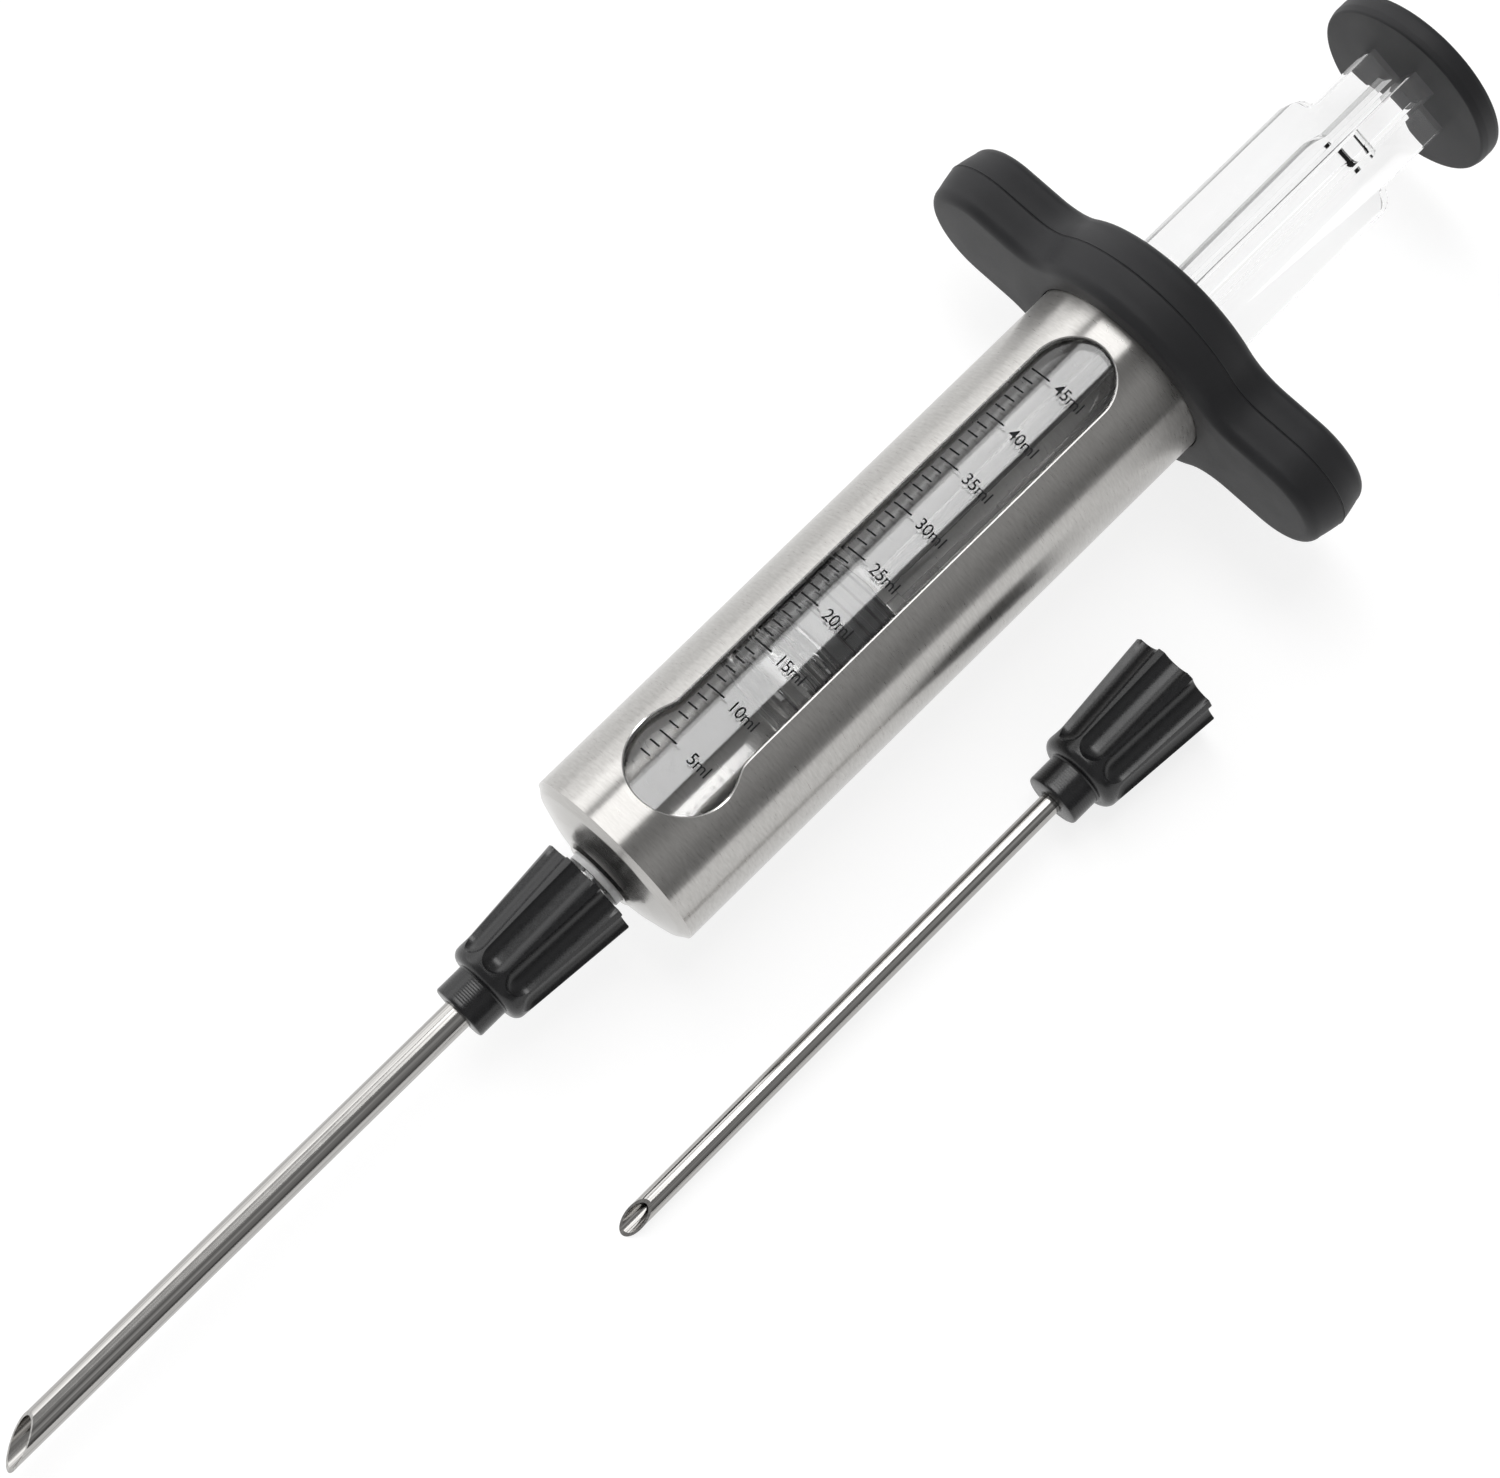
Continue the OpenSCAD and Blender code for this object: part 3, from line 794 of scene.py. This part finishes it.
def hub_mesh(name, needle_r):
    bm = bmesh.new()
    in_flute, on_land = 12, 4
    sector = 2 * pi / FLUTES
    half_steps = in_flute + on_land

    def body_row(depth):
        c = crest(depth)
        centre, rad = flute_at(depth)
        edge = 0.0
        if rad > 0 and abs(centre - c) < rad:
            cosine = (c * c + centre * centre - rad * rad) / (2 * c * centre)
            if cosine < 1:
                edge = acos(max(-1.0, cosine))
        row = []
        for f in range(FLUTES):
            mid = (f + 0.5) * sector
            for i in range(-half_steps, half_steps):
                k = abs(i)
                side = -1 if i < 0 else 1
                lane = max(edge, 0.02)
                if k <= in_flute:
                    a = lane * k / in_flute
                else:
                    a = lane + (sector / 2 - lane) * (k - in_flute) / on_land
                r = c
                if edge > 0 and k < in_flute:
                    under = rad * rad - (centre * sin(a)) ** 2
                    r = min(c, centre * cos(a) - sqrt(max(0.0, under)))
                t = mid + side * a
                row.append(bm.verts.new((r * cos(t), r * sin(t), -depth)))
        return row

    def round_row(r, depth):
        row = []
        for f in range(FLUTES):
            mid = (f + 0.5) * sector
            for i in range(-half_steps, half_steps):
                t = mid + sector / 2 * i / half_steps
                row.append(bm.verts.new((r * cos(t), r * sin(t), -depth)))
        return row

    rim = 0.12  # height of the chamfer round the open end
    straight, end = HUB_LEN - HUB_ROUND, HUB_LEN - FLUTE_BACK
    depths = [rim + (end - rim) * i / 10 for i in range(11)]
    depths += [end + (FLUTE_R - 0.02) * sin(pi / 2 * i / 14) for i in range(1, 15)]
    depths += [straight + HUB_ROUND * sin(pi / 2 * i / 10) for i in range(11)]
    rows = [body_row(d) for d in sorted({round(d, 4) for d in depths})]
    # open end: a narrow chamfer, the flat rim and the socket with plain rings for its thread
    start = body_row(rim)
    for v in start:
        v.co.x *= 0.988
        v.co.y *= 0.988
        v.co.z = 0
    inner = [round_row(SOCKET_R + 0.55, 0.0), round_row(SOCKET_R, 0.5)]
    for k in range(4):
        z = 1.0 + 1.45 * k
        for deeper, rise in ((0.0, 0.0), (0.35, 0.35), (0.35, 0.7), (0.0, 1.0)):
            inner.append(round_row(SOCKET_R + deeper, z + rise))
    seat = SOCKET_LEN + 0.8
    inner += [round_row(SOCKET_R, SOCKET_LEN), round_row(SOCKET_R - 0.2, SOCKET_LEN + 0.02)]
    inner += [round_row(SOCKET_R - 0.2, seat), round_row(needle_r + 0.02, seat)]
    # neck with fine turned lines, and its end face round the needle
    neck = [round_row(HUB_NECK_R + 0.25, HUB_LEN), round_row(HUB_NECK_R, HUB_LEN + 0.2)]
    pitch = 0.42
    count = int((HUB_TOTAL - HUB_LEN - 1.0) / pitch)
    for k in range(count):
        z = HUB_LEN + 0.45 + pitch * k
        for part, dip in ((0.0, 0.0), (0.3, 0.012), (0.5, 0.022), (0.7, 0.012)):
            neck.append(round_row(HUB_NECK_R - dip, z + pitch * part))
    neck += [round_row(HUB_NECK_R, HUB_TOTAL - 0.45), round_row(HUB_NECK_R - 0.02, HUB_TOTAL - 0.3),
             round_row(HUB_NECK_R - 0.12, HUB_TOTAL - 0.1), round_row(HUB_NECK_R - 0.32, HUB_TOTAL),
             round_row(needle_r + 0.35, HUB_TOTAL), round_row(needle_r + 0.05, HUB_TOTAL - 0.25),
             round_row(needle_r + 0.02, HUB_TOTAL - 1.5)]
    skin(bm, inner[::-1] + [start] + rows + neck)
    return to_mesh(bm, name, 28)


def tube_mesh(name, r):
    """Needle: outer wall, slant-cut end and inner wall, one column for each direction."""
    n = 72
    bm = bmesh.new()
    tip_z = -HUB_TOTAL - NEEDLE_LEN
    length = BEVEL * r / NEEDLE_R
    top = -SOCKET_LEN - 1.1

    def wall(radius):
        rows = []
        for t in (0.0, 0.004, 0.012, 0.03, 0.06, 0.1, 0.2, 0.4, 0.7, 1.0):
            row = []
            for i in range(n):
                a = 2 * pi * i / n
                cut = tip_z + (radius * cos(a) + r) * length / (2 * r)
                row.append(bm.verts.new((radius * cos(a), radius * sin(a), cut + (top - cut) * t)))
            rows.append(row)
        return rows

    outer = wall(r)
    inner = wall(r - WALL)
    lip = []
    q = r - 0.05  # a hair of rounding on the outside of the cut
    for i in range(n):
        a = 2 * pi * i / n
        lip.append(bm.verts.new((q * cos(a), q * sin(a), tip_z + (q * cos(a) + r) * length / (2 * r))))
    skin(bm, inner[::-1] + [lip] + outer)
    return to_mesh(bm, name, 30)


def turned(matrix, z, angle=0.0):
    """The matrix moved along its axis by a height and turned about it."""
    return matrix @ Matrix.Translation((0, 0, z * MM)) @ Matrix.Rotation(radians(angle), 4, "Z")


link("hub", hub_mesh("hub", NEEDLE_R),
     turned(LAY, HUB_OPEN, HUB_TURN), "needle", "needle_hub", (HUB_BLACK,))
link("needle_steel_tube", tube_mesh("needle_steel_tube", NEEDLE_R),
     turned(LAY, HUB_OPEN, BEVEL_TURN), "needle", "needle_tube", (NEEDLE,))
link("hub_of_spare", hub_mesh("hub_of_spare", SPARE_R),
     turned(LAY_SPARE, 0, SPARE_HUB_TURN), "spare", "spare_hub", (HUB_BLACK,))
link("spare_steel_tube", tube_mesh("spare_steel_tube", SPARE_R),
     turned(LAY_SPARE, 0, SPARE_BEVEL_TURN), "spare", "spare_tube", (NEEDLE,))

for name in ("barrel_gasket", "hub_washer", "spare_washer"):
    mesh = frame["nodes"][name].data
    mesh.materials.clear()
    mesh.materials.append(WASHER)

# ---------------------------------------------------------------------------
# Floor, light and camera
# ---------------------------------------------------------------------------

ROOM_LIGHT, BOX_LIGHT, CORE_LIGHT, SIDE_LIGHT = 1.2, 0.6, 4.4, 0.9
FLOOR_HALF, FLOOR_GLOW = 6.0, 0.8

floor_mesh = bpy.data.meshes.new("floor")
corners = [(x * FLOOR_HALF, y * FLOOR_HALF, 0) for x, y in ((-1, -1), (1, -1), (1, 1), (-1, 1))]
floor_mesh.from_pydata(corners, [], [(0, 1, 2, 3)])
floor = bpy.data.objects.new("floor", floor_mesh)
scene.collection.objects.link(floor)
paper = Nodes("paper")
paper.put(Base_Color=(0.3, 0.3, 0.3, 1), Roughness=1.0, Specular_IOR_Level=0.0)
paper.put(Emission_Color=(1, 1, 1, 1), Emission_Strength=FLOOR_GLOW)
floor_mesh.materials.append(paper.mat)

world = bpy.data.worlds.new("studio")
scene.world = world
world.use_nodes = True
wt = world.node_tree
wt.nodes.clear()


def sky_ramp(value, stops):
    """Brightness by how far a direction leans along an axis, from -1 to 1."""
    spread = wt.nodes.new("ShaderNodeMapRange")
    spread.inputs["From Min"].default_value = -1.0
    spread.inputs["From Max"].default_value = 1.0
    wt.links.new(value, spread.inputs["Value"])
    ramp = wt.nodes.new("ShaderNodeValToRGB")
    wt.links.new(spread.outputs["Result"], ramp.inputs[0])
    marks = ramp.color_ramp.elements
    while len(marks) > 1:
        marks.remove(marks[-1])
    for i, (lean, level) in enumerate(stops):
        e = marks[0] if i == 0 else marks.new((lean + 1) / 2)
        e.position = (lean + 1) / 2
        e.color = (level, level, level, 1)
    return ramp.outputs[0]


def sky_math(op, a, b):
    """One sum or product of the sky, of outputs or plain numbers."""
    node = wt.nodes.new("ShaderNodeMath")
    node.operation = op
    for i, v in enumerate((a, b)):
        if isinstance(v, (int, float)):
            node.inputs[i].default_value = v
        else:
            wt.links.new(v, node.inputs[i])
    return node.outputs[0]


w_coord = wt.nodes.new("ShaderNodeTexCoord")
w_sep = wt.nodes.new("ShaderNodeSeparateXYZ")
wt.links.new(w_coord.outputs["Generated"], w_sep.inputs[0])
# the room: dim on the -Y side, lighter towards +Y
room = sky_ramp(w_sep.outputs["Y"], [
    (-1.0, 0.10), (-0.95, 0.15), (-0.88, 0.24), (-0.78, 0.33), (-0.66, 0.38), (-0.5, 0.30), (-0.32, 0.22),
    (-0.15, 0.26), (-0.05, 0.3), (0.56, 0.3), (0.62, 0.4), (0.68, 0.5), (0.74, 1.0)])
# one large soft box overhead, with a narrower and much brighter core
box_y = sky_ramp(w_sep.outputs["Y"], [(-0.10, 0.0), (-0.06, 1.0), (0.58, 1.0), (0.62, 0.0)])
box_x = sky_ramp(w_sep.outputs["X"], [(-0.12, 0.0), (-0.04, 1.0), (0.44, 1.0), (0.52, 0.0)])
core_x = sky_ramp(w_sep.outputs["X"], [(0.0, 0.0), (0.06, 1.0), (0.30, 1.0), (0.36, 0.0)])
reach = sky_math("ADD", sky_math("MULTIPLY", box_x, BOX_LIGHT), sky_math("MULTIPLY", core_x, CORE_LIGHT))
soft_box = sky_math("MULTIPLY", box_y, reach)
# a lighter strip low on the +Y side
side = sky_ramp(w_sep.outputs["Y"], [
    (0.68, 0.0), (0.74, 1.0), (0.87, 1.0), (0.92, 0.3), (0.96, 0.1), (1.0, 0.3)])
side = sky_math("MULTIPLY", side, SIDE_LIGHT)
w_bg = wt.nodes.new("ShaderNodeBackground")
w_out = wt.nodes.new("ShaderNodeOutputWorld")
studio = sky_math("ADD", sky_math("MULTIPLY", room, ROOM_LIGHT), sky_math("ADD", soft_box, side))
wt.links.new(studio, w_bg.inputs["Color"])
wt.links.new(w_bg.outputs[0], w_out.inputs[0])

cam_data = bpy.data.cameras.new("camera")
cam = bpy.data.objects.new("camera", cam_data)
scene.collection.objects.link(cam)
cam_data.sensor_width = 36.0
cam_data.lens = 94.87
cam_data.clip_start, cam_data.clip_end = 0.01, 50
cam.location = (-0.12915, -0.14013, 0.56367)
cam.rotation_euler = (radians(19.323), radians(0.912), radians(-45.021))
scene.camera = cam
scene.view_settings.view_transform = "Standard"
scene.cycles.max_bounces = 24
scene.cycles.transmission_bounces = 24
scene.cycles.transparent_max_bounces = 24
